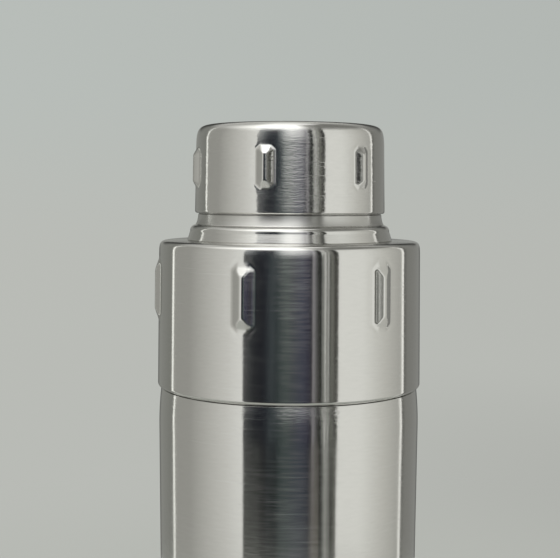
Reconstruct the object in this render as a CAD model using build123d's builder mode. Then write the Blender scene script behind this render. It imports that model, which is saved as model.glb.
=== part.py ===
from build123d import *
import math
import os

# A cocktail shaker in three vessels: a body tin, a strainer top whose tall sleeve drops over the tin's
# rim, and a cap over the neck. Millimetres, +Z up the axis, origin at the middle of the base on the table.

# Sheet metal and fits
tin_sheet = 0.8  # wall of the body tin
sheet = 0.9  # wall of the sleeve, the neck and the cap
slip_fit = 0.08  # radial gap where one vessel slides over another
seal_clearance = 0.05  # gap all round a seal, to the rim under it and the sheet over it

# Body tin
tin_height = 170.0  # table to rim
tin_radius = 40.52  # at the belly, the widest place
tin_draft = 0.9  # how much narrower the wall is at the table than at the belly
tin_swell_height = 11.8  # from the belly up to the sleeve's lip, where the wall rounds in
tin_corner_radius = 4.0
tin_foot_width = 2.4  # flat ring that the tin stands on
tin_recess = 1.5  # how far the middle of the base is pressed up
tin_recess_slope = 1.5  # radial width of the step up to it
tin_roll_radius = 1.4  # rim rolled inwards

# Sleeve of the strainer top
sleeve_height = 45.1
sleeve_proud = 0.4  # how far the sleeve's lip stands out from the tin's belly
sleeve_draft = 0.44  # how much narrower the sleeve is at its shoulder than at its lip
sleeve_edge_radius = 2.2
sleeve_lip_flat = 0.1  # flat left at the very edge of the rounded-in lip
sleeve_lip_height = 1.4  # how far up the lip's rounding-in starts
sleeve_seal_thickness = 1.5
sleeve_seal_width = 5.5

# Neck of the strainer top, with a stepped moulding at its foot
neck_radius = 28.47  # outside, where the cap's lip ends
neck_height = 32.5  # shoulder to rim
neck_roll_radius = 1.2
moulding_height = 4.75  # shoulder to the crease
moulding_round = 1.75  # convex upper part of the moulding
moulding_reach = 2.45  # how far the convex part stands out from the neck
moulding_foot_flare = 0.9  # how far the foot flares out beyond the convex part
crease_reach = 0.85  # how far the crease stands out from the neck
cove_height = 2.0  # from the crease up to the plain neck
neck_showing = 1.65  # plain neck left bare under the cap's lip

# Strainer plate in the foot of the neck
plate_sheet = 0.6
plate_rim_width = 4.9  # flat ring round the dome
plate_dome_rise = 4.0
strainer_hole_radius = 1.5
strainer_hole_border = 4.2  # from the middles of the outer holes to the dome's edge
strainer_rings = 4
holes_per_ring_step = 6

# Cap
cap_draft = 0.45  # how much narrower the cap is at its top than at its lip
cap_edge_radius = 3.8
cap_lip_radius_edge = 0.4  # small round on the cap's lower edge
cap_seal_thickness = 2.0
cap_seal_width = 4.5
cap_turn = 4.7  # degrees that the cap is turned from the sleeve as it stands

# Lugs pressed out of the walls: a long hipped roof with a narrow flat ridge
lug_count = 6
lug_height = 1.4  # how far the ridge stands out from the wall
lug_root = 0.5  # how far a lug's form reaches into the wall
lug_ridge_corner = 0.2
lug_base_corner = 1.3
sleeve_lug_length = 18.9
sleeve_lug_width = 6.5
sleeve_lug_ridge_length = 11.7
sleeve_lug_ridge_width = 1.0
sleeve_lug_drop = 14.9  # shoulder to the middle of a lug
cap_lug_length = 12.45
cap_lug_width = 5.4
cap_lug_ridge_length = 7.7
cap_lug_ridge_width = 0.95
cap_lug_drop = 13.4  # top of the cap to the middle of a lug

# Heights that follow from the stack of rim, seal and sheet
shoulder_height = tin_height + sleeve_seal_thickness + 2 * seal_clearance + sheet
sleeve_lip_level = shoulder_height - sleeve_height
tin_belly_height = sleeve_lip_level - tin_swell_height
crease_level = shoulder_height + moulding_height
neck_foot_level = crease_level + cove_height
neck_rim_height = shoulder_height + neck_height
cap_lip_level = neck_foot_level + neck_showing
cap_top_height = neck_rim_height + cap_seal_thickness + 2 * seal_clearance + sheet

# Radii that follow from the tin and the neck
sleeve_lip_radius = tin_radius + sleeve_proud
sleeve_top_radius = sleeve_lip_radius - sleeve_draft
tin_base_radius = tin_radius - tin_draft
cap_lip_radius = neck_radius + slip_fit + sheet
cap_top_radius = cap_lip_radius - cap_draft


def wall_radius(level, lip_radius, top_radius, lip_level, top_level):
    """Outer radius at one level of a straight tapered wall."""
    return lip_radius + (top_radius - lip_radius) * (level - lip_level) / (top_level - lip_level)


def sleeve_radius(level):
    return wall_radius(level, sleeve_lip_radius, sleeve_top_radius, sleeve_lip_level, shoulder_height)


def cap_radius(level):
    return wall_radius(level, cap_lip_radius, cap_top_radius, cap_lip_level, cap_top_height)


def cup_region(lip_radius, top_radius, lip_level, top_level, edge_radius, inset):
    """Half section of an upside-down drawn cup, filled, with its outside moved in by inset."""
    lip = (lip_radius - inset, lip_level)
    edge = (top_radius - inset, top_level - inset)
    crown = (0, top_level - inset)
    with BuildSketch(mode=Mode.PRIVATE) as region:
        with BuildLine():
            FilletPolyline(lip, edge, crown, radius=edge_radius - inset)
            Polyline(crown, (0, lip_level), lip)
        make_face()
    return region.sketch


def sleeve_region(inset):
    return cup_region(
        sleeve_lip_radius, sleeve_top_radius, sleeve_lip_level, shoulder_height, sleeve_edge_radius, inset
    )


def cap_region(inset):
    return cup_region(cap_lip_radius, cap_top_radius, cap_lip_level, cap_top_height, cap_edge_radius, inset)


def rolled_wall(foot_radius, foot_level, rim_radius, rim_level, wall, roll_radius):
    """Half section of a wall that ends in a rim rolled inwards by half a turn."""
    roll_level = rim_level - roll_radius
    roll_centre = (rim_radius - roll_radius, roll_level)
    roll_end = rim_radius - 2 * roll_radius
    with BuildSketch(mode=Mode.PRIVATE) as region:
        with BuildLine():
            Line((foot_radius, foot_level), (rim_radius, roll_level))
            CenterArc(roll_centre, roll_radius, 0, 180)
            Line((roll_end, roll_level), (roll_end + wall, roll_level))
            CenterArc(roll_centre, roll_radius - wall, 0, 180)
            Line((rim_radius - wall, roll_level), (foot_radius - wall, foot_level))
            Line((foot_radius - wall, foot_level), (foot_radius, foot_level))
        make_face()
    return region.sketch


def lug_form(radius, level, length, width, ridge_length, ridge_width, setback):
    """Solid hipped roof on the -Y side of a wall of that radius, moved in by setback."""
    root_share = (lug_height + lug_root) / lug_height
    root_length = ridge_length + (length - ridge_length) * root_share
    root_width = ridge_width + (width - ridge_width) * root_share
    root_plane = Plane(origin=(0, -(radius - setback - lug_root), level), x_dir=(1, 0, 0), z_dir=(0, -1, 0))
    with BuildPart() as form:
        with BuildSketch(root_plane) as root:
            Rectangle(root_width, root_length)
            chamfer(root.vertices(), lug_base_corner)
        with BuildSketch(root_plane.offset(lug_root + lug_height)) as ridge:
            Rectangle(ridge_width, ridge_length)
            chamfer(ridge.vertices(), lug_ridge_corner)
        loft(ruled=True)
    return form.part


def lug_setback(width, ridge_width):
    """How far in the inside of a lug lies, so that its slopes keep the thickness of the sheet."""
    slope = math.atan2(lug_height, (width - ridge_width) / 2)
    return sheet / math.cos(slope)


# Body tin: one deep-drawn cup. Its rim section tapers with the sleeve that drops over it.
tin_rim_level = tin_height - tin_roll_radius
tin_rim_radius = sleeve_radius(tin_rim_level) - sheet - slip_fit
tin_neck_radius = sleeve_radius(sleeve_lip_level) - sheet - slip_fit
tin_recess_radius = tin_base_radius - tin_corner_radius - tin_foot_width


def tin_region(inset):
    """Half section of the tin up to the sleeve's lip, filled, with its outside moved in by inset."""
    middle = (0, inset)
    corner = (tin_base_radius - inset, inset)
    belly = (tin_radius - inset, tin_belly_height)
    neck = (tin_neck_radius - inset, sleeve_lip_level)
    with BuildSketch(mode=Mode.PRIVATE) as region:
        with BuildLine():
            FilletPolyline(middle, corner, belly, radius=tin_corner_radius - inset)
            TangentArc(belly, neck, tangent=(0, 1))
            Polyline(neck, (0, sleeve_lip_level), middle)
        make_face()
    return region.sketch


def base_press(grow):
    """Half section of the space under the raised middle of the base, grown outwards and upwards."""
    with BuildSketch(mode=Mode.PRIVATE) as region:
        with BuildLine():
            Polyline(
                (0, 0),
                (tin_recess_radius + grow, 0),
                (tin_recess_radius - tin_recess_slope + grow, tin_recess + grow),
                (0, tin_recess + grow),
                close=True,
            )
        make_face()
    return region.sketch


with BuildPart() as body_tin:
    with BuildSketch(Plane.XZ):
        add(tin_region(0))
        add(tin_region(tin_sheet), mode=Mode.SUBTRACT)
        add(base_press(tin_sheet))
        add(base_press(0), mode=Mode.SUBTRACT)
        add(
            rolled_wall(
                tin_neck_radius, sleeve_lip_level, tin_rim_radius, tin_height, tin_sheet, tin_roll_radius
            )
        )
    revolve(axis=Axis.Z)
body_tin.part.label = "body_tin"

# Sleeve of the strainer top: a drawn cup with its roof opened for the neck and six lugs pressed out.
moulding_bore = neck_radius + moulding_reach - sheet
sleeve_lug_level = shoulder_height - sleeve_lug_drop
sleeve_lug_shape = (sleeve_lug_length, sleeve_lug_width, sleeve_lug_ridge_length, sleeve_lug_ridge_width)
sleeve_lug_wall = sleeve_radius(sleeve_lug_level)
sleeve_lug_setback = lug_setback(sleeve_lug_width, sleeve_lug_ridge_width)
sleeve_lug_outside = lug_form(sleeve_lug_wall, sleeve_lug_level, *sleeve_lug_shape, 0)
sleeve_lug_inside = lug_form(sleeve_lug_wall, sleeve_lug_level, *sleeve_lug_shape, sleeve_lug_setback)

with BuildPart() as collar_shell:
    with BuildSketch(Plane.XZ):
        add(sleeve_region(0))
        add(sleeve_region(sheet), mode=Mode.SUBTRACT)
        with BuildLine():
            Polyline(
                (0, sleeve_lip_level),
                (moulding_bore, sleeve_lip_level),
                (moulding_bore, shoulder_height),
                (0, shoulder_height),
                close=True,
            )
        make_face(mode=Mode.SUBTRACT)
        with BuildLine():
            lip_round_level = sleeve_lip_level + sleeve_lip_height
            round_start = (sleeve_radius(lip_round_level), lip_round_level)
            round_end = (sleeve_lip_radius - sheet + sleeve_lip_flat, sleeve_lip_level)
            outer_corner = (sleeve_lip_radius, sleeve_lip_level)
            TangentArc(round_start, round_end, tangent=(0, -1))
            Polyline(round_end, outer_corner, round_start)
        make_face(mode=Mode.SUBTRACT)
    revolve(axis=Axis.Z)
    with PolarLocations(0, lug_count):
        add(sleeve_lug_outside)
    with PolarLocations(0, lug_count):
        add(sleeve_lug_inside, mode=Mode.SUBTRACT)
collar_shell.part.label = "collar_shell"

# Neck: the moulding is bored wide at its foot, which leaves a ledge for the strainer plate.
ledge_level = crease_level - sheet
round_level = crease_level - moulding_round
moulding_radius = neck_radius + moulding_reach
neck_rim_radius = cap_radius(neck_rim_height) - sheet - slip_fit

with BuildPart() as neck_ring:
    with BuildSketch(Plane.XZ):
        add(
            rolled_wall(
                neck_radius, neck_foot_level, neck_rim_radius, neck_rim_height, sheet, neck_roll_radius
            )
        )
        with BuildLine():
            foot_edge = (moulding_radius + moulding_foot_flare, shoulder_height)
            round_start = (moulding_radius, round_level)
            round_end = (neck_radius + crease_reach, crease_level)
            Line((moulding_bore, shoulder_height), foot_edge)
            TangentArc(round_start, foot_edge, tangent=(0, -1))
            TangentArc(round_start, round_end, tangent=(0, 1))
            TangentArc((neck_radius, neck_foot_level), round_end, tangent=(0, -1))
            Polyline(
                (neck_radius, neck_foot_level),
                (neck_radius - sheet, neck_foot_level),
                (neck_radius - sheet, ledge_level),
                (moulding_bore, ledge_level),
                (moulding_bore, shoulder_height),
            )
        make_face()
    revolve(axis=Axis.Z)
neck_ring.part.label = "neck_ring"

# Strainer plate: a shallow dome with rings of holes, its flat rim against the neck's ledge.
plate_radius = moulding_bore - slip_fit
plate_dome_radius = plate_radius - plate_rim_width
strainer_hole_pitch = (plate_dome_radius - strainer_hole_border) / strainer_rings
dome_sphere_radius = (plate_dome_radius**2 + plate_dome_rise**2) / (2 * plate_dome_rise)
dome_angle = math.degrees(math.asin(plate_dome_radius / dome_sphere_radius))


def dome_arc(level):
    """Arc from the top of the dome down to its edge, for a dome whose edge is at level."""
    centre = (0, level + plate_dome_rise - dome_sphere_radius)
    return CenterArc(centre, dome_sphere_radius, 90 - dome_angle, dome_angle)


with BuildPart() as strainer_plate:
    with BuildSketch(Plane.XZ):
        plate_under_level = ledge_level - plate_sheet
        with BuildLine():
            dome_arc(ledge_level)
            dome_arc(plate_under_level)
            Line((0, ledge_level + plate_dome_rise), (0, plate_under_level + plate_dome_rise))
            Polyline(
                (plate_dome_radius, ledge_level),
                (plate_radius, ledge_level),
                (plate_radius, plate_under_level),
                (plate_dome_radius, plate_under_level),
            )
        make_face()
    revolve(axis=Axis.Z)
    with BuildSketch(Plane.XY.offset(plate_under_level)):
        Circle(strainer_hole_radius)
        for ring in range(1, strainer_rings + 1):
            with PolarLocations(ring * strainer_hole_pitch, ring * holes_per_ring_step):
                Circle(strainer_hole_radius)
    extrude(amount=plate_dome_rise + plate_sheet, mode=Mode.SUBTRACT)
strainer_plate.part.label = "strainer_plate"

# Cap: a drawn cup with six smaller lugs.
cap_lug_level = cap_top_height - cap_lug_drop
cap_lug_shape = (cap_lug_length, cap_lug_width, cap_lug_ridge_length, cap_lug_ridge_width)
cap_lug_wall = cap_radius(cap_lug_level)
cap_lug_setback = lug_setback(cap_lug_width, cap_lug_ridge_width)
cap_lug_outside = lug_form(cap_lug_wall, cap_lug_level, *cap_lug_shape, 0)
cap_lug_inside = lug_form(cap_lug_wall, cap_lug_level, *cap_lug_shape, cap_lug_setback)

with BuildPart() as cap_shell:
    with BuildSketch(Plane.XZ):
        add(cap_region(0))
        add(cap_region(sheet), mode=Mode.SUBTRACT)
    revolve(axis=Axis.Z)
    lip_edge = cap_shell.edges().group_by(Axis.Z)[0].sort_by(SortBy.LENGTH)[-1]
    fillet(lip_edge, cap_lip_radius_edge)
    with PolarLocations(0, lug_count, start_angle=cap_turn):
        add(cap_lug_outside)
    with PolarLocations(0, lug_count, start_angle=cap_turn):
        add(cap_lug_inside, mode=Mode.SUBTRACT)
cap_shell.part.label = "cap_shell"

# Silicone seals: flat rings under the shoulder and under the cap's top, their outer edges shaped to the
# rounded corner of the sheet above them.
sleeve_seal_top = shoulder_height - sheet - seal_clearance
sleeve_seal_radius = sleeve_radius(sleeve_seal_top) - sheet - seal_clearance

with BuildPart() as collar_seal:
    with BuildSketch(Plane.XZ):
        add(sleeve_region(sheet + seal_clearance))
        with Locations((sleeve_seal_radius, sleeve_seal_top)):
            Rectangle(
                sleeve_seal_width, sleeve_seal_thickness, align=(Align.MAX, Align.MAX), mode=Mode.INTERSECT
            )
    revolve(axis=Axis.Z)
collar_seal.part.label = "collar_seal"

cap_seal_top = cap_top_height - sheet - seal_clearance
cap_seal_radius = cap_radius(cap_seal_top) - sheet - seal_clearance

with BuildPart() as cap_seal:
    with BuildSketch(Plane.XZ):
        add(cap_region(sheet + seal_clearance))
        with Locations((cap_seal_radius, cap_seal_top)):
            Rectangle(cap_seal_width, cap_seal_thickness, align=(Align.MAX, Align.MAX), mode=Mode.INTERSECT)
    revolve(axis=Axis.Z)
cap_seal.part.label = "cap_seal"

os.makedirs("parts", exist_ok=True)
for piece in (body_tin, collar_shell, neck_ring, strainer_plate, collar_seal, cap_shell, cap_seal):
    export_step(piece.part, f"parts/{piece.part.label}.step")
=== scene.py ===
import math

import bpy
import numpy as np
from mathutils import Matrix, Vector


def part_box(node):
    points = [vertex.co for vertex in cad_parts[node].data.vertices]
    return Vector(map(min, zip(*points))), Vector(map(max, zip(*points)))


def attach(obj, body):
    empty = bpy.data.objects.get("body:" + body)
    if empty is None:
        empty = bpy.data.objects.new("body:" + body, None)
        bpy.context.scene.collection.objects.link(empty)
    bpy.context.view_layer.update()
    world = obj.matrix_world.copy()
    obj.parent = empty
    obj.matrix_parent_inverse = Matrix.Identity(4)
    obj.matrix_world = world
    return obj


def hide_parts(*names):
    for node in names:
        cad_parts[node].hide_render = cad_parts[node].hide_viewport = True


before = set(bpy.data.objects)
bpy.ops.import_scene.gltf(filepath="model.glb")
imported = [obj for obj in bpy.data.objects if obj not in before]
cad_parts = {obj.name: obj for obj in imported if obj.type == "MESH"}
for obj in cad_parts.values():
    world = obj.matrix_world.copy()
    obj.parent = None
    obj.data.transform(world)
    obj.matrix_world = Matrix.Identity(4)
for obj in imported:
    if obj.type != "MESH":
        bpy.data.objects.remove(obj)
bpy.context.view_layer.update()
print("frame loaded with", len(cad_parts), "nodes")

mm = 0.001
viewAzimuth = math.radians(18.8)  # the camera's side, round from -Y, where one lug of the sleeve stands


def levels(node):
    # lowest and highest level of a CAD node, in mm, to a hundredth because its round rims are faceted
    low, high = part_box(node)
    return round(low[2] / mm, 2), round(high[2] / mm, 2)


capLip, capTop = levels("cap_shell")
sleeveLip, shoulder = levels("collar_shell")
neckRim = levels("neck_ring")[1]
tinRim = levels("body_tin")[1]


# Outlines are lists of (radius, height) in mm, made of stretches that are joined end to end.

def arc(centre, radius, startDegrees, endDegrees, steps):
    angles = np.radians(np.linspace(startDegrees, endDegrees, steps + 1))
    return [(centre[0] + radius * math.cos(a), centre[1] + radius * math.sin(a)) for a in angles]


def tangentArc(start, end, upward, steps):
    # an arc that leaves start straight up or down and ends at end
    side = 1 if end[0] > start[0] else -1
    across, along = abs(end[0] - start[0]), abs(end[1] - start[1])
    radius = (across * across + along * along) / (2 * across)
    centre = (start[0] + side * radius, start[1])
    sweep = math.degrees(math.asin(along / radius))
    if across > radius:
        sweep = 180 - sweep
    turn = (1 if upward else -1) * -side
    base = 180 if side > 0 else 0
    return arc(centre, radius, base, base + turn * sweep, steps)


def run(start, end, spacing):
    count = max(1, math.ceil(math.dist(start, end) / spacing))
    step = np.array(end) - np.array(start)
    return [tuple(np.array(start) + step * i / count) for i in range(count + 1)]


def backwards(stretch):
    return list(reversed(stretch))


def joinPath(*stretches):
    samePoint = 1e-4
    path = []
    for stretch in stretches:
        for point in stretch:
            if not path or math.dist(point, path[-1]) > samePoint:
                path.append(point)
    return path


def softCorner(corner, wallEnd, length, roundness, steps):
    # a rounded edge that eases into the wall and into the flat: length is how far from the corner it starts,
    # roundness the radius of the plain round that cuts the corner by as much
    hold = (4 - 8 * (1 - math.sqrt(0.5)) * roundness / length) / 3
    corner = np.array(corner)
    wall = np.array(wallEnd) - corner
    start = corner + wall / np.linalg.norm(wall) * length
    end = corner + np.array([-length, 0.0])
    first, second = start + (corner - start) * hold, end + (corner - end) * hold
    t = np.linspace(0, 1, steps + 1)[:, None]
    u = 1 - t
    points = u ** 3 * start + 3 * u ** 2 * t * first + 3 * u * t ** 2 * second + t ** 3 * end
    return [tuple(point) for point in points]


def lipGroove(radius, lipLevel, depth, height):
    # a fine groove rolled into the wall where the vessel above ends: the wall turns in just under the lip
    turnIn = [(0, 1), (0.12, 0.9), (0.45, 0.72), (0.85, 0.55), (1, 0.3), (1, -0.6), (0, -1.6)]
    return [(radius - depth * inward, lipLevel - height * down) for inward, down in turnIn]


def taperedWall(lipRadius, topRadius, lipLevel, topLevel, inset=0.0):
    # gives the radius of a straight tapered wall at any level, moved in by inset
    slope = (topRadius - lipRadius) / (topLevel - lipLevel)
    return lambda z: lipRadius + slope * (z - lipLevel) - inset


def evenColumns(count):
    return np.arange(count) * 2 * math.pi / count


def signedVolume(vertices, faces):
    corner = np.array(vertices)
    triangles = np.array([f[:3] for f in faces] + [(f[0], f[2], f[3]) for f in faces if len(f) == 4])
    a, b, c = (corner[triangles[:, i]] for i in range(3))
    return float(np.einsum("ij,ij->i", a, np.cross(b, c)).sum())


def spin(name, path, columns, closed, shape=None):
    # turns an outline round the axis; shape moves each point of the grid in or out
    onAxis = 1e-6
    radius, angle = np.meshgrid([p[0] for p in path], columns, indexing="ij")
    height = np.repeat(np.array([[p[1]] for p in path]), len(columns), axis=1)
    if shape:
        radius = shape(radius, angle, height)
    vertices, rows = [], []
    for i in range(len(path)):
        if path[i][0] < onAxis:
            rows.append([len(vertices)] * len(columns))
            vertices.append((0.0, 0.0, path[i][1] * mm))
            continue
        rows.append(list(range(len(vertices), len(vertices) + len(columns))))
        x = radius[i] * np.sin(angle[i]) * mm
        y = -radius[i] * np.cos(angle[i]) * mm
        vertices.extend(zip(x.tolist(), y.tolist(), (height[i] * mm).tolist()))
    faces = []
    pairs = list(zip(rows, rows[1:]))
    if closed:
        pairs.append((rows[-1], rows[0]))
    for low, high in pairs:
        for j in range(len(columns)):
            k = (j + 1) % len(columns)
            corners = list(dict.fromkeys((low[j], low[k], high[k], high[j])))
            if len(corners) > 2:
                faces.append(corners)
    mesh = bpy.data.meshes.new(name)
    mesh.from_pydata(vertices, [], faces)
    mesh.validate()
    if signedVolume(vertices, faces) < 0:
        mesh.flip_normals()
    mesh.shade_smooth()
    piece = bpy.data.objects.new(name, mesh)
    bpy.context.scene.collection.objects.link(piece)
    return piece


# Lugs are pressed out of a spun wall by moving its points outwards.

def softMin(a, b, blend):
    return np.minimum(a, b) - np.maximum(blend - np.abs(a - b), 0) ** 2 / (4 * blend)


def softMax(a, b, blend):
    return -softMin(-a, -b, blend)


def lugRise(across, along, lug):
    # hipped roof: two long slopes, two end slopes, four clipped corners and a narrow flat ridge
    sideSlope = lug["height"] / (lug["width"] / 2 - lug["ridgeWidth"] / 2)
    endSlope = lug["height"] / (lug["length"] / 2 - lug["ridgeLength"] / 2)
    sides = (lug["width"] / 2 - np.abs(across)) * sideSlope
    ends = (lug["length"] / 2 - np.abs(along)) * endSlope
    clipReach = (lug["width"] + lug["length"]) / 2 - lug["clip"]
    corners = (clipReach - np.abs(across) - np.abs(along)) * lug["clipSlope"]
    roof = softMin(softMin(sides, ends, lug["hipBlend"]), corners, lug["hipBlend"])
    return softMin(roof, lug["height"] + 0 * roof, lug["ridgeBlend"])


def footGroove(roof, lug):
    # pressing the lug draws the wall in a little all round its foot
    return lug["grooveDepth"] * np.exp(-((roof + lug["grooveOffset"]) / lug["grooveWidth"]) ** 2)


def pressLugs(lug, level, outer, wallBottom, wallTop, sheet):
    # outside and inside are told apart by how far a point lies from the outer wall
    flatEnough = 1e-4
    pitch = 2 * math.pi / lug["count"]

    def shape(radius, angle, height):
        turned = angle - math.radians(lug["turn"])
        across = ((turned + pitch / 2) % pitch - pitch / 2) * radius
        depth = outer(np.clip(height, wallBottom, wallTop)) - radius
        rise = lugRise(across, height - level, lug) - np.where(depth > sheet / 2, lug["setback"], 0)
        groove = footGroove(rise, lug)
        rise = softMax(rise, 0 * rise, lug["footBlend"]) - groove
        rise = np.where(np.abs(rise) < flatEnough, 0, rise)
        onWall = (height > wallBottom) & (height < wallTop) & (depth < sheet * 1.5)
        return radius + np.where(onWall, rise, 0)
    return shape


def lugReach(size, lug):
    return size / 2 + lug["footBlend"] * 2


def lugColumns(lug, radius, fine, coarse):
    # columns crowd where the lugs are
    reach = lugReach(lug["width"], lug)
    pitch = 2 * math.pi / lug["count"]
    gap = pitch * radius - 2 * reach
    close = np.arange(-reach, reach + fine / 2, fine)
    wide = reach + np.arange(1, math.ceil(gap / coarse)) * gap / math.ceil(gap / coarse)
    oneLug = np.concatenate([close, wide]) / radius
    turn = math.radians(lug["turn"])
    return np.concatenate([oneLug + turn + i * pitch for i in range(lug["count"])])


def wallRows(radiusAt, top, bottom, level, lug, fine, coarse):
    # rows crowd where the lugs are
    reach = lugReach(lug["length"], lug)
    stops = [top, min(top, level + reach), level - reach, bottom]
    heights = []
    for high, low, spacing in zip(stops, stops[1:], (coarse, fine, coarse)):
        count = max(1, math.ceil((high - low) / spacing))
        heights.extend(high + (low - high) * i / count for i in range(count))
    heights.append(bottom)
    return [(radiusAt(z), z) for z in heights]


class Socket:
    # wraps an output socket, so that sums read as sums
    def __init__(self, shader, socket):
        self.shader = shader
        self.socket = socket

    def math(self, operation, *others):
        return self.shader.add("ShaderNodeMath", {"operation": operation}, [self, *others])

    def __add__(self, other):
        return self.math("ADD", other)

    __radd__ = __add__

    def __mul__(self, other):
        return self.math("MULTIPLY", other)

    __rmul__ = __mul__

    def __sub__(self, other):
        return self.math("SUBTRACT", other)

    def __rsub__(self, other):
        return self.shader.add("ShaderNodeMath", {"operation": "SUBTRACT"}, [other, self])

    def __truediv__(self, other):
        return self.math("DIVIDE", other)

    def __rtruediv__(self, other):
        return self.shader.add("ShaderNodeMath", {"operation": "DIVIDE"}, [other, self])

    def __pow__(self, other):
        return self.math("POWER", other)


class Shader:
    def __init__(self, tree):
        self.tree = tree
        tree.nodes.clear()

    def add(self, kind, settings=None, inputs=None, output=0):
        # one node: its settings first, then a value or a link for each socket, by order or by name
        node = self.tree.nodes.new(kind)
        for key, value in (settings or {}).items():
            if key == "stops":
                self.setStops(node.color_ramp, value)
            else:
                setattr(node, key, value)
        items = enumerate(inputs) if isinstance(inputs, list) else (inputs or {}).items()
        for key, value in items:
            if isinstance(value, Socket):
                self.tree.links.new(value.socket, node.inputs[key])
            else:
                node.inputs[key].default_value = value
        return Socket(self, node.outputs[output]) if len(node.outputs) else node

    def setStops(self, ramp, stops):
        while len(ramp.elements) > 1:
            ramp.elements.remove(ramp.elements[-1])
        ramp.elements[0].position = stops[0][0]
        ramp.elements[0].color = stops[0][1]
        for position, colour in stops[1:]:
            ramp.elements.new(position).color = colour

    def smooth(self, value, low, high, toLow=0.0, toHigh=1.0):
        return self.add("ShaderNodeMapRange", {"interpolation_type": "SMOOTHSTEP"},
                        [value, low, high, toLow, toHigh])

    def noise(self, vector, scale, detail, roughness):
        return self.add("ShaderNodeTexNoise", {}, {"Vector": vector, "Scale": scale, "Detail": detail,
                                                   "Roughness": roughness})

    def mixColour(self, factor, a, b):
        return self.add("ShaderNodeMix", {"data_type": "RGBA"}, {0: factor, 6: a, 7: b}, output=2)

    def bump(self, height, strength, distance, under=None):
        inputs = {"Strength": strength, "Distance": distance, "Height": height}
        if under:
            inputs["Normal"] = under
        return self.add("ShaderNodeBump", {}, inputs)

    def vector(self, x, y, z):
        return self.add("ShaderNodeCombineXYZ", {}, [x, y, z])

    def split(self, vector):
        node = self.add("ShaderNodeSeparateXYZ", {}, [vector]).socket.node
        return [Socket(self, out) for out in node.outputs]

    def position(self):
        return self.split(self.add("ShaderNodeTexCoord", output="Object"))


def opaque(colour, shade=1.0):
    return (*(c * shade for c in colour), 1.0)


def newMaterial(name):
    material = bpy.data.materials.new(name)
    material.use_nodes = True
    return material, Shader(material.node_tree)


steelFinish = {
    "colour": (0.68, 0.675, 0.65),
    "lineShade": 0.88,  # the brushed lines are this much darker
    "hairColour": (0.80, 0.80, 0.79),  # of single bright hairlines
    "roughness": 0.115,
    "lineRoughness": 0.035, "hairRoughness": 0.06,  # added to the roughness where the lines and hairlines run
    "smudgeRoughness": 0.02, "satinRoughness": 0.2,
    "lineTilt": 0.5, "lineDepth": 0.00004,
    "lineLength": 300.0, "lineFineness": 2300.0,  # noise scales along and across the lines, per metre
    "waveTilt": 0.2, "waveDepth": 0.00012, "waveScale": 38.0,
    "wallRadius": 0.0405,
    "satinFrom": 1.0,  # level above which the metal is left satin
    "wornFrom": 1.0, "wear": 0.0,  # level where the lines get deeper, and by how much
}


def steel(name, **changes):
    finish = {**steelFinish, **changes}
    material, shader = newMaterial(name)
    x, y, z = shader.position()
    radius = (x * x + y * y) ** 0.5
    upward = shader.split(shader.add("ShaderNodeNewGeometry", output="Normal"))[2]
    flat = shader.smooth(upward.math("ABSOLUTE"), 0.15, 0.85)
    level = z - flat * (radius - finish["wallRadius"])  # runs up the wall, then in over flat faces

    def lineNoise(along, across, detail, roughness):
        # lines round the axis, broken along their length
        return shader.noise(shader.vector(x * along, y * along, level * across), 1.0, detail, roughness)

    def spotNoise(across, upwards, detail):
        return shader.noise(shader.vector(x * across, y * across, z * upwards), 1.0, detail, 0.6)

    length, fineness = finish["lineLength"], finish["lineFineness"]
    fine = lineNoise(length, fineness, 2.0, 0.6)
    middle = lineNoise(length * 0.4, fineness * 0.8, 2.0, 0.6)
    broad = lineNoise(30, fineness * 0.35, 2.0, 0.5)
    hairs = shader.smooth(lineNoise(34, fineness * 2.4, 1.0, 0.5), 0.70, 0.77)
    depth = shader.smooth(spotNoise(55, 40, 3.0), 0.3, 0.72, 0.45, 1.0)
    smudges = shader.smooth(spotNoise(80, 60, 4.0), 0.5, 0.75)
    worn = shader.smooth(z, finish["wornFrom"], finish["wornFrom"] + 0.008) * finish["wear"] + 1.0
    satin = shader.smooth(z, finish["satinFrom"], finish["satinFrom"] + 0.0004)
    lines = (fine * 0.6 + middle * 0.36 + broad * 0.04) * depth * worn
    rough = (finish["roughness"] + satin * finish["satinRoughness"]
             + shader.smooth(middle, 0.4, 0.65) * depth * finish["lineRoughness"]
             + hairs * finish["hairRoughness"] + smudges * finish["smudgeRoughness"])
    tint = shader.mixColour(shader.smooth(fine, 0.38, 0.66) * 0.16, opaque(finish["colour"]),
                            opaque(finish["colour"], finish["lineShade"]))
    tint = shader.mixColour(hairs * 0.35, tint, opaque(finish["hairColour"]))
    wave = shader.noise(shader.vector(x, y, z), finish["waveScale"], 1.0, 0.4)
    brushed = shader.bump(lines + hairs * 0.07, finish["lineTilt"], finish["lineDepth"])
    waved = shader.bump(wave, finish["waveTilt"], finish["waveDepth"], under=brushed)
    skin = shader.add("ShaderNodeBsdfPrincipled", {}, {
        "Base Color": tint, "Metallic": 1.0, "Roughness": rough, "Normal": waved,
        "Anisotropic": 1.0, "Anisotropic Rotation": 0.25,
    })
    shader.add("ShaderNodeOutputMaterial", {}, {"Surface": skin})
    return material


siliconeFinish = {
    "dark": (0.52, 0.53, 0.52), "light": (0.64, 0.65, 0.64), "dust": (0.78, 0.78, 0.76),
    "mottleScale": 420.0, "dustScale": 2600.0, "dustTilt": 0.4, "dustDepth": 0.00005,
    "smoothest": 0.42, "roughest": 0.58, "specular": 0.45,
}


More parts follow.
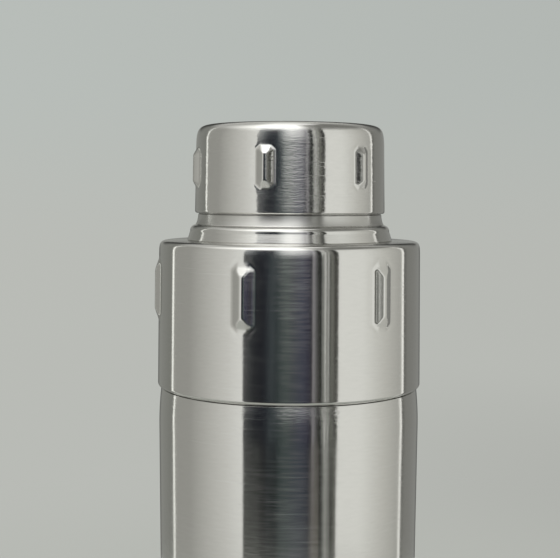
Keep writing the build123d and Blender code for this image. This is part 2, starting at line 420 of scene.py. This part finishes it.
def silicone(name):
    finish = siliconeFinish
    material, shader = newMaterial(name)
    place = shader.vector(*shader.position())
    mottled = shader.noise(place, finish["mottleScale"], 4.0, 0.6)
    dust = shader.noise(place, finish["dustScale"], 2.0, 0.5)
    colour = shader.mixColour(mottled, opaque(finish["dark"]), opaque(finish["light"]))
    colour = shader.mixColour(shader.smooth(dust, 0.62, 0.75) * 0.5, colour, opaque(finish["dust"]))
    skin = shader.add("ShaderNodeBsdfPrincipled", {}, {
        "Base Color": colour, "Specular IOR Level": finish["specular"],
        "Roughness": shader.smooth(mottled, 0.3, 0.7, finish["smoothest"], finish["roughest"]),
        "Normal": shader.bump(dust, finish["dustTilt"], finish["dustDepth"]),
    })
    shader.add("ShaderNodeOutputMaterial", {}, {"Surface": skin})
    return material


def finishPiece(piece, material, body, node):
    piece.data.materials.clear()
    piece.data.materials.append(material)
    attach(piece, body)
    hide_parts(node)


capSizes = {
    "lipRadius": 29.45, "topRadius": 29.0, "sheet": 0.9, "lipRound": 0.65, "innerLipRound": 0.15,
    "edgeRadius": 3.8, "easing": 6.8,  # easing is how far from the corner the top edge starts to round
    "wallStep": 0.7, "lugStep": 0.13, "innerWallStep": 1.0, "innerLugStep": 0.2, "columnStep": 1.2,
}
capLugs = {
    "count": 6, "turn": 4.7, "drop": 13.4,  # drop is from the cap's top to the middle of a lug
    "length": 12.45, "width": 5.4, "height": 1.4, "ridgeLength": 7.7, "ridgeWidth": 0.95, "setback": 0.16,
    "clip": 1.3, "clipSlope": 0.46, "hipBlend": 0.16, "ridgeBlend": 0.16, "footBlend": 0.3,
    "grooveDepth": 0.035, "grooveOffset": 0.3, "grooveWidth": 0.28,
}
capFinish = {
    "wallRadius": 0.0293, "roughness": 0.13, "lineTilt": 1.0, "lineDepth": 0.00007, "lineLength": 380.0,
    "lineFineness": 1900.0,
}


def makeCap():
    s = capSizes
    outer = taperedWall(s["lipRadius"], s["topRadius"], capLip, capTop)
    inner = taperedWall(s["lipRadius"], s["topRadius"], capLip, capTop, s["sheet"])
    edgeLevel = capTop - s["edgeRadius"]
    edgeCentre = (outer(edgeLevel) - s["edgeRadius"], edgeLevel)
    lipLevel = capLip + s["lipRound"]
    lipCentre = (outer(lipLevel) - s["lipRound"], lipLevel)
    insideLip = (inner(capLip) + s["innerLipRound"], capLip + s["innerLipRound"])
    innerCrown = capTop - s["sheet"]
    lugLevel = capTop - capLugs["drop"]
    softEdge = softCorner((outer(capTop), capTop), (outer(capLip), capLip), s["easing"], s["edgeRadius"], 30)
    outside = wallRows(outer, softEdge[0][1] - 0.05, lipLevel + 0.1, lugLevel, capLugs, s["lugStep"],
                       s["wallStep"])
    inside = wallRows(inner, edgeLevel - 0.1, insideLip[1] + 0.1, lugLevel, capLugs, s["innerLugStep"],
                      s["innerWallStep"])
    path = joinPath(
        run((0, capTop), (softEdge[-1][0] - 0.3, capTop), 2.0),
        backwards(softEdge),
        outside,
        arc(lipCentre, s["lipRound"], 0, -90, 6),
        arc(insideLip, s["innerLipRound"], -90, -180, 3),
        backwards(inside),
        arc(edgeCentre, s["edgeRadius"] - s["sheet"], 0, 90, 12),
        run((edgeCentre[0] - 0.2, innerCrown), (0, innerCrown), 3.0),
    )
    columns = lugColumns(capLugs, s["lipRadius"], s["lugStep"], s["columnStep"])
    piece = spin("capShell", path, columns, False,
                 pressLugs(capLugs, lugLevel, outer, lipLevel, edgeLevel, s["sheet"]))
    finishPiece(piece, steel("capSteel", **capFinish), "cap", "cap_shell")
    return piece


capShell = makeCap()
print("cap spun:", len(capShell.data.polygons), "faces")


sleeveSizes = {
    "lipRadius": 40.92, "topRadius": 40.48, "sheet": 0.9, "lipDepth": 0.78, "lipHeight": 0.95,
    "boreRadius": 30.02, "edgeRadius": 2.2, "easing": 5.0,
    "wallStep": 0.9, "lugStep": 0.16, "innerWallStep": 1.2, "innerLugStep": 0.25, "columnStep": 1.3,
}
sleeveLugs = {
    "count": 6, "turn": 0.0, "drop": 14.9,  # drop is from the shoulder to the middle of a lug
    "length": 18.9, "width": 6.5, "height": 1.34, "ridgeLength": 11.7, "ridgeWidth": 1.0, "setback": 0.16,
    "clip": 1.6, "clipSlope": 0.38, "hipBlend": 0.18, "ridgeBlend": 0.18, "footBlend": 0.36,
    "grooveDepth": 0.045, "grooveOffset": 0.36, "grooveWidth": 0.34,
}
sleeveFinish = {"wallRadius": 0.0405}


def makeSleeve():
    s = sleeveSizes
    outer = taperedWall(s["lipRadius"], s["topRadius"], sleeveLip, shoulder)
    inner = taperedWall(s["lipRadius"], s["topRadius"], sleeveLip, shoulder, s["sheet"])
    edgeLevel = shoulder - s["edgeRadius"]
    edgeCentre = (outer(edgeLevel) - s["edgeRadius"], edgeLevel)
    underShoulder = shoulder - s["sheet"]
    lugLevel = shoulder - sleeveLugs["drop"]
    # the lip's round is one arc that leaves the wall straight down and ends at the bottom edge
    lipTop = sleeveLip + s["lipHeight"]
    lipArc = (s["lipHeight"] ** 2 + s["lipDepth"] ** 2) / (2 * s["lipDepth"])
    lipSweep = math.degrees(math.asin(s["lipHeight"] / lipArc))
    lipCentre = (outer(lipTop) - lipArc, lipTop)
    softEdge = softCorner((outer(shoulder), shoulder), (outer(sleeveLip), sleeveLip), s["easing"],
                          s["edgeRadius"], 28)
    outside = wallRows(outer, softEdge[0][1] - 0.05, lipTop + 0.1, lugLevel, sleeveLugs, s["lugStep"],
                       s["wallStep"])
    inside = wallRows(inner, edgeLevel - 0.1, sleeveLip + 0.3, lugLevel, sleeveLugs, s["innerLugStep"],
                      s["innerWallStep"])
    path = joinPath(
        [(s["boreRadius"], shoulder)],
        run((s["boreRadius"] + 0.1, shoulder), (softEdge[-1][0] - 0.1, shoulder), 1.0),
        backwards(softEdge),
        outside,
        arc(lipCentre, lipArc, 0, -lipSweep, 10),
        [(inner(sleeveLip) + 0.02, sleeveLip + 0.02)],
        backwards(inside),
        arc(edgeCentre, s["edgeRadius"] - s["sheet"], 0, 90, 10),
        run((edgeCentre[0] - 0.1, underShoulder), (s["boreRadius"], underShoulder), 1.5),
    )
    columns = lugColumns(sleeveLugs, s["lipRadius"], s["lugStep"], s["columnStep"])
    piece = spin("sleeveShell", path, columns, True,
                 pressLugs(sleeveLugs, lugLevel, outer, lipTop, edgeLevel, s["sheet"]))
    finishPiece(piece, steel("sleeveSteel", **sleeveFinish), "strainer_top", "collar_shell")
    return piece


sleeveShell = makeSleeve()
print("sleeve spun:", len(sleeveShell.data.polygons), "faces")


neckSizes = {
    "radius": 28.47, "rimRadius": 28.07, "sheet": 0.9, "roll": 1.2, "boreRadius": 30.02,
    "mouldingHeight": 4.75, "mouldingRound": 1.75, "mouldingReach": 2.45, "creaseReach": 0.85, "cove": 3.05,
    "footReach": 3.35, "footBend": 1.0, "footLean": 18.5,
    "grooveDepth": 0.26, "grooveHeight": 0.46,
}
neckFinish = {"wallRadius": 0.0285, "lineTilt": 0.3, "satinFrom": 0.1773}


def makeNeck():
    s = neckSizes
    crease = shoulder + s["mouldingHeight"]
    roundLevel = crease - s["mouldingRound"]
    moulding = s["radius"] + s["mouldingReach"]
    foot = (s["radius"] + s["footReach"], shoulder)
    creasePoint = (s["radius"] + s["creaseReach"], crease)
    wallFoot = (s["radius"], crease + s["cove"])
    rollLevel = neckRim - s["roll"]
    rollCentre = (s["rimRadius"] - s["roll"], rollLevel)
    inside = s["radius"] - s["sheet"]
    ledge = crease - s["sheet"]  # the strainer plate sits under it
    bend = arc((moulding + s["footBend"], roundLevel), s["footBend"], 180, 180 + s["footLean"], 6)
    path = joinPath(
        run(foot, bend[-1], 0.4),
        backwards(bend),
        tangentArc((moulding, roundLevel), creasePoint, True, 14),
        backwards(tangentArc(wallFoot, creasePoint, False, 10)),
        lipGroove(s["radius"], capLip, s["grooveDepth"], s["grooveHeight"]),
        run((s["radius"], capLip + 2 * s["grooveHeight"]), (s["rimRadius"], rollLevel), 0.6),
        arc(rollCentre, s["roll"], 0, 180, 18),
        arc(rollCentre, s["roll"] - s["sheet"], 180, 0, 8),
        run((s["rimRadius"] - s["sheet"], rollLevel), (inside, wallFoot[1]), 1.0),
        run((inside, wallFoot[1]), (inside, ledge + 0.05), 0.5),
        run((inside + 0.05, ledge), (s["boreRadius"] - 0.05, ledge), 0.5),
        run((s["boreRadius"], ledge - 0.05), (s["boreRadius"], shoulder), 0.6),
    )
    piece = spin("neckSpinning", path, evenColumns(360), True)
    finishPiece(piece, steel("neckSteel", **neckFinish), "strainer_top", "neck_ring")
    return piece


neckSpinning = makeNeck()
print("neck spun:", len(neckSpinning.data.polygons), "faces")


tinSizes = {
    "bellyRadius": 40.52, "baseRadius": 39.62, "neckRadius": 39.94, "rimRadius": 39.54, "sheet": 0.8,
    "roll": 1.4, "corner": 4.0, "footWidth": 2.4, "recess": 1.5, "recessSlope": 1.5,
    "swellHeight": 11.8, "swellTop": 39.9,  # the belly swells in under the sleeve's lip, to this radius
    "grooveDepth": 0.34, "grooveHeight": 0.6,
}
tinFinish = {"wallRadius": 0.0402, "wornFrom": 0.1185, "wear": 4.5}


def makeTin():
    s = tinSizes
    belly = sleeveLip - s["swellHeight"]
    lean = math.atan2(s["bellyRadius"] - s["baseRadius"], belly)

    def wall(inset, spacing):
        # the corner's arc touches the base and the leaning wall
        corner = s["corner"] - inset
        centre = (s["baseRadius"] - inset - corner / math.tan((math.pi / 2 + lean) / 2), inset + corner)
        bellyPoint = (s["bellyRadius"] - inset, belly)
        swellEnd = (s["swellTop"] - inset, sleeveLip - s["grooveHeight"] - 0.05)
        lower = arc(centre, corner, -90, -math.degrees(lean), 12)
        upper = run(lower[-1], bellyPoint, spacing)
        return joinPath(lower, upper, tangentArc(bellyPoint, swellEnd, True, 24))

    stepFoot = s["baseRadius"] - s["corner"] - s["footWidth"]
    stepTop = stepFoot - s["recessSlope"]
    floorLevel = s["recess"] + s["sheet"]
    rollLevel = tinRim - s["roll"]
    rollCentre = (s["rimRadius"] - s["roll"], rollLevel)
    path = joinPath(
        run((0, s["recess"]), (stepTop - 0.6, s["recess"]), 3.0),
        [(stepTop - 0.2, s["recess"] - 0.06), (stepTop + 0.1, s["recess"] - 0.25)],
        [(stepFoot - 0.2, 0.25), (stepFoot + 0.1, 0.05), (stepFoot + 0.4, 0)],
        wall(0, 2.5),
        lipGroove(s["swellTop"], sleeveLip, s["grooveDepth"], s["grooveHeight"]),
        run((s["neckRadius"], sleeveLip + 2 * s["grooveHeight"]), (s["rimRadius"], rollLevel), 2.5),
        arc(rollCentre, s["roll"], 0, 180, 18),
        arc(rollCentre, s["roll"] - s["sheet"], 180, 0, 8),
        run((s["rimRadius"] - s["sheet"], rollLevel), (s["neckRadius"] - s["sheet"], sleeveLip), 4.0),
        backwards(wall(s["sheet"], 4.0)),
        [(stepFoot + s["sheet"] + 0.2, s["sheet"]), (stepFoot + s["sheet"] - 0.2, s["sheet"] + 0.25)],
        [(stepTop + s["sheet"] + 0.1, floorLevel - 0.25), (stepTop + s["sheet"] - 0.3, floorLevel)],
        run((stepTop - 0.6, floorLevel), (0, floorLevel), 3.0),
    )
    piece = spin("tinBody", path, evenColumns(360), False)
    finishPiece(piece, steel("tinSteel", **tinFinish), "tin", "body_tin")
    return piece


tinBody = makeTin()
print("tin spun:", len(tinBody.data.polygons), "faces")


# flat rings, their outer edge shaped to the corner of the sheet above them
sealSizes = {
    "sleeve": {"outerRadius": 39.5, "width": 5.5, "cornerRadius": 1.2, "innerRound": 0.25},
    "cap": {"outerRadius": 28.0, "width": 4.5, "cornerRadius": 2.8, "innerRound": 0.25},
}


def makeSeal(name, s, body, node):
    bottom, top = levels(node)
    bend = s["innerRound"]
    bore = s["outerRadius"] - s["width"] + bend
    cornerCentre = (s["outerRadius"] - s["cornerRadius"], top - s["cornerRadius"])
    rise = max(0.0, bottom - cornerCentre[1])
    side = [] if rise else [(s["outerRadius"] - 0.02, cornerCentre[1])]
    path = joinPath(
        run((bore, bottom), (s["outerRadius"] - s["cornerRadius"] * 0.2, bottom), 0.5),
        side,
        arc(cornerCentre, s["cornerRadius"], math.degrees(math.asin(rise / s["cornerRadius"])), 90, 12),
        run((cornerCentre[0], top), (bore, top), 0.6),
        arc((bore, top - bend), bend, 90, 180, 5),
        arc((bore, bottom + bend), bend, 180, 270, 5),
    )
    piece = spin(name, path, evenColumns(240), True)
    finishPiece(piece, silicone(name + "Silicone"), body, node)


makeSeal("sleeveSeal", sealSizes["sleeve"], "sleeve_gasket", "collar_seal")
makeSeal("capSeal", sealSizes["cap"], "cap_gasket", "cap_seal")
print("seals spun")


strainerFinish = {"wallRadius": 0.030, "roughness": 0.25}

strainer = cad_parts["strainer_plate"]  # keeps its CAD mesh
strainerSteel = steel("strainerSteel", **strainerFinish)
for slot in strainer.material_slots:
    slot.material = strainerSteel
if not strainer.material_slots:
    strainer.data.materials.append(strainerSteel)
print("strainer finished")


# a pale round sweep; only an apron of it close to the object shows in the steel
studio = {
    "floorRadius": 1.3, "coveRadius": 0.5, "wallHeight": 2.2, "apronRadius": 0.24, "columns": 180,
    "floorColour": (0.62, 0.64, 0.61), "grainShade": 0.97, "grainScale": 260.0,
    "paperLow": (0.492, 0.505, 0.474), "paperHigh": (0.484, 0.514, 0.489), "paperTurn": (0.05, 0.4),
    "litRing": (0.12, 0.42),  # between these radii the lit floor turns into glowing pale paper, with painted shade towards the right
    "paintedSideShade": 0.045, "paintedHighShade": 0.04, "paintedFloorShade": 0.11,  # painted shade on the glowing paper: how much darker its right side is, more so higher up, and on the floor near the object to the right
}


def makeStudio():
    s = studio
    reach, bend, top, apron = (s[k] / mm for k in ("floorRadius", "coveRadius", "wallHeight", "apronRadius"))
    parts = {
        "floorApron": run((0, 0), (apron, 0), 30),
        "floorSweep": run((apron, 0), (reach, 0), 60),
        "wallSweep": joinPath(arc((reach, bend), bend, -90, 0, 24),
                              run((reach + bend, bend), (reach + bend, top), 200)),
    }
    material, shader = newMaterial("paleSweep")
    x, y, z = shader.position()
    radius = (x * x + y * y) ** 0.5
    rightward = x * math.cos(viewAzimuth) + y * math.sin(viewAzimuth)
    grain = shader.noise(shader.vector(x, y, z), s["grainScale"], 3.0, 0.6)
    colour = shader.mixColour(grain * 0.25, opaque(s["floorColour"]),
                              opaque(s["floorColour"], s["grainShade"]))
    diffuse = shader.add("ShaderNodeBsdfDiffuse", {}, {"Color": colour})
    # painted shade: the glowing paper is mixed towards black on the right side, more so higher up the wall
    # and on the floor near the object
    paintedSideShade = shader.smooth(z, 0.1, 0.5) * s["paintedHighShade"] + s["paintedSideShade"]
    paintedFloorShade = shader.smooth(radius, 1.0, 0.25) * shader.smooth(rightward, -0.12, 0.25) * s["paintedFloorShade"]
    paintedShade = shader.smooth(rightward, -0.9, 0.9) * paintedSideShade + paintedFloorShade
    paper = shader.mixColour(shader.smooth(z, *s["paperTurn"]), opaque(s["paperLow"]), opaque(s["paperHigh"]))
    paper = shader.mixColour(paintedShade, paper, opaque((0.0, 0.0, 0.0)))
    glow = shader.add("ShaderNodeEmission", {}, {"Color": paper})
    skin = shader.add("ShaderNodeMixShader", {}, [shader.smooth(radius, *s["litRing"]), diffuse, glow])
    shader.add("ShaderNodeOutputMaterial", {}, {"Surface": skin})
    for name, part in parts.items():
        piece = spin(name, part, evenColumns(s["columns"]), False)
        piece.data.materials.append(material)
        piece.visible_glossy = name == "floorApron"
        piece.visible_diffuse = piece.visible_shadow = name != "wallSweep"


# The surround, by bearing round the object in degrees from the camera's side: pale panels all round, and the
# unlit room behind the camera, which is seen level with the object, lower down and higher up.
panelLight = [
    (-180, (0.30, 0.305, 0.285)), (-136, (0.27, 0.275, 0.255)), (-122, (0.24, 0.245, 0.225)),
    (-121, (1.4, 1.42, 1.35)), (-119.2, (1.4, 1.42, 1.35)), (-118.2, (0.38, 0.38, 0.355)),
    (-95, (0.40, 0.40, 0.375)), (-75, (0.57, 0.57, 0.54)), (-55, (0.74, 0.74, 0.71)),
    (-38, (0.92, 0.925, 0.90)), (42, (0.92, 0.925, 0.89)), (65, (0.90, 0.905, 0.87)),
    (90, (0.66, 0.66, 0.62)), (113, (0.47, 0.47, 0.44)), (115.5, (1.25, 1.25, 1.2)),
    (117, (1.25, 1.25, 1.2)), (118, (0.14, 0.14, 0.13)), (124, (0.25, 0.25, 0.235)),
    (180, (0.30, 0.305, 0.29)),
]
roomLevel = [
    (-39.5, (0.075, 0.078, 0.08)), (-35.5, (0.05, 0.052, 0.055)), (-33, (0.028, 0.031, 0.036)),
    (-29, (0.008, 0.01, 0.015)), (-22.5, (0.01, 0.012, 0.018)), (-19, (0.025, 0.031, 0.038)),
    (-14.5, (0.055, 0.068, 0.075)), (-10.5, (0.03, 0.042, 0.046)), (-5, (0.045, 0.062, 0.06)),
    (-1.5, (0.055, 0.075, 0.07)), (3.5, (0.035, 0.042, 0.052)), (10.5, (0.04, 0.044, 0.075)),
    (15.5, (0.03, 0.028, 0.055)), (19.3, (0.012, 0.01, 0.018)), (20.2, (0.34, 0.33, 0.35)),
    (22.5, (0.16, 0.16, 0.165)), (24.6, (0.045, 0.048, 0.045)), (27.4, (0.008, 0.009, 0.008)),
    (28.3, (0.32, 0.33, 0.305)), (29.2, (0.14, 0.145, 0.135)), (31, (0.85, 0.86, 0.82)),
    (32, (0.02, 0.02, 0.018)), (33.4, (0.7, 0.71, 0.67)), (34.6, (0.015, 0.016, 0.015)),
    (36.2, (0.22, 0.225, 0.2)), (38.3, (0.16, 0.16, 0.145)), (39.5, (0.045, 0.045, 0.038)),
    (42.5, (0.06, 0.06, 0.05)),
]
roomLower = [
    (-39.5, (0.092, 0.095, 0.088)), (-27, (0.068, 0.071, 0.066)), (-22, (0.022, 0.022, 0.022)),
    (-19.5, (0.012, 0.013, 0.014)), (-17.7, (0.03, 0.034, 0.036)), (-15.9, (0.004, 0.006, 0.007)),
    (-11.5, (0.004, 0.007, 0.009)), (-7, (0.04, 0.055, 0.056)), (3.5, (0.06, 0.074, 0.084)),
    (10.5, (0.05, 0.06, 0.072)), (16.5, (0.03, 0.035, 0.045)), (19.7, (0.115, 0.107, 0.1)),
    (23, (0.15, 0.14, 0.122)), (25.8, (0.14, 0.13, 0.115)), (27, (0.02, 0.02, 0.018)),
    (29.2, (0.015, 0.015, 0.014)), (30, (0.16, 0.165, 0.155)), (31.6, (0.15, 0.16, 0.145)),
    (32.5, (0.5, 0.51, 0.48)), (33.5, (0.08, 0.08, 0.075)), (35.2, (0.26, 0.265, 0.245)),
    (36.2, (0.04, 0.04, 0.035)), (38.7, (0.04, 0.042, 0.034)), (40.2, (0.22, 0.22, 0.2)),
    (41.4, (0.05, 0.05, 0.045)),
]
roomUpper = [
    (-39.5, (0.36, 0.37, 0.37)), (-34, (0.24, 0.25, 0.26)), (-29, (0.10, 0.11, 0.12)),
    (-24, (0.02, 0.025, 0.035)), (-15, (0.015, 0.02, 0.03)), (-10, (0.30, 0.32, 0.33)),
    (-5, (0.72, 0.74, 0.74)), (2, (0.92, 0.93, 0.93)), (12, (0.74, 0.75, 0.76)), (17, (0.5, 0.5, 0.52)),
    (19.3, (0.3, 0.3, 0.32)), (20.4, (0.6, 0.6, 0.62)), (22.5, (0.25, 0.25, 0.25)),
    (24.4, (0.02, 0.02, 0.02)), (27.4, (0.006, 0.007, 0.006)), (28.1, (1.1, 1.11, 1.08)),
    (29.2, (0.35, 0.355, 0.335)), (31, (0.85, 0.86, 0.82)), (32, (0.08, 0.08, 0.072)),
    (33.4, (0.5, 0.51, 0.48)), (35, (0.24, 0.245, 0.22)), (37.5, (0.2, 0.2, 0.185)),
    (38.5, (0.02, 0.02, 0.018)), (42.5, (0.06, 0.06, 0.055)),
]
ceilingLight = [
    (-180, (0.75, 0.75, 0.72)), (-125, (0.5, 0.5, 0.48)), (-95, (0.8, 0.8, 0.77)), (-61, (1.5, 1.5, 1.46)),
    (-40, (2.0, 2.0, 1.97)), (0, (2.0, 2.0, 1.98)), (12, (1.7, 1.7, 1.68)), (20, (1.1, 1.1, 1.08)),
    (30, (0.45, 0.45, 0.43)), (45, (0.24, 0.24, 0.225)), (115, (0.22, 0.22, 0.205)),
    (140, (0.4, 0.4, 0.38)), (180, (0.75, 0.75, 0.72)),
]

# where one light hands over to the next, by the height of the direction looked in, from -1 to 1
surround = {
    "room": (-39.3, 42.4),  # bearings of the unlit room's two edges
    "roomLower": (-0.17, -0.25), "roomUpper": (0.03, 0.15), "ceiling": (0.45, 0.68), "zenith": (0.93, 0.99),
    "zenithColour": (1.3, 1.3, 1.28), "shadeColour": (0.02, 0.02, 0.019),
    "backShade": 0.9, "rimShade": 0.8,  # how dark the far side is, above the object and level with it
}


def makeSurround():
    s = surround
    world = bpy.data.worlds.new("surround")
    world.use_nodes = True
    bpy.context.scene.world = world
    shader = Shader(world.node_tree)
    x, y, z = shader.split(shader.add("ShaderNodeTexCoord", output="Generated"))
    rightward = x * math.cos(viewAzimuth) + y * math.sin(viewAzimuth)
    forward = x * math.sin(viewAzimuth) - y * math.cos(viewAzimuth)
    bearing = rightward.math("ARCTAN2", forward) * (180 / math.pi)
    left, right = s["room"]

    def band(lights, low, high):
        stops = [((b - low) / (high - low), opaque(colour)) for b, colour in lights]
        return shader.add("ShaderNodeValToRGB", {"stops": stops}, [(bearing - low) / (high - low)])

    def roomBand(lights):
        return band(lights, left - 1, right + 1)

    below = shader.smooth(z, *s["roomLower"])
    room = shader.mixColour(below, roomBand(roomLevel), roomBand(roomLower))
    room = shader.mixColour(shader.smooth(z, *s["roomUpper"]), room, roomBand(roomUpper))
    pastLeft = shader.smooth(bearing, left - 0.2, left + 0.2)
    shortOfRight = shader.smooth(bearing + below * 0.8, right + 0.3, right - 0.3)
    inRoom = pastLeft * shortOfRight
    colour = shader.mixColour(inRoom, band(panelLight, -180, 180), room)
    aside = bearing.math("ABSOLUTE")
    back = shader.smooth(aside, 135, 168) * shader.smooth(z, 0.12, 0.25) * shader.smooth(z, 0.7, 0.5)
    rim = shader.smooth(aside, 152, 172) * shader.smooth(z, 0.03, -0.02)
    colour = shader.mixColour(back * s["backShade"] + rim * s["rimShade"], colour, opaque(s["shadeColour"]))
    colour = shader.mixColour(shader.smooth(z, *s["ceiling"]), colour, band(ceilingLight, -180, 180))
    colour = shader.mixColour(shader.smooth(z, *s["zenith"]), colour, opaque(s["zenithColour"]))
    light = shader.add("ShaderNodeBackground", {}, {"Color": colour, "Strength": 1.0})
    shader.add("ShaderNodeOutputWorld", {}, {"Surface": light})


makeStudio()
makeSurround()
print("studio set")


cameraSizes = {
    "distance": 0.3715, "height": 0.1869, "pitchDown": 4.1, "turnLeft": 0.45, "roll": 0.33, "lens": 76.5,
    "sensorWidth": 36.0, "clipStart": 0.01,
}


def makeCamera():
    s = cameraSizes
    camera = bpy.data.objects.new("camera", bpy.data.cameras.new("camera"))
    bpy.context.scene.collection.objects.link(camera)
    camera.data.lens = s["lens"]
    camera.data.sensor_width = s["sensorWidth"]
    camera.data.clip_start = s["clipStart"]
    place = Matrix.Translation((s["distance"] * math.sin(viewAzimuth), -s["distance"] * math.cos(viewAzimuth),
                                s["height"]))
    turn = Matrix.Rotation(viewAzimuth + math.radians(s["turnLeft"]), 4, "Z")
    tilt = Matrix.Rotation(math.radians(90 - s["pitchDown"]), 4, "X")
    roll = Matrix.Rotation(math.radians(s["roll"]), 4, "Z")
    camera.matrix_world = place @ turn @ tilt @ roll
    bpy.context.scene.camera = camera


makeCamera()
bpy.context.scene.view_settings.view_transform = "Standard"
print("camera placed")
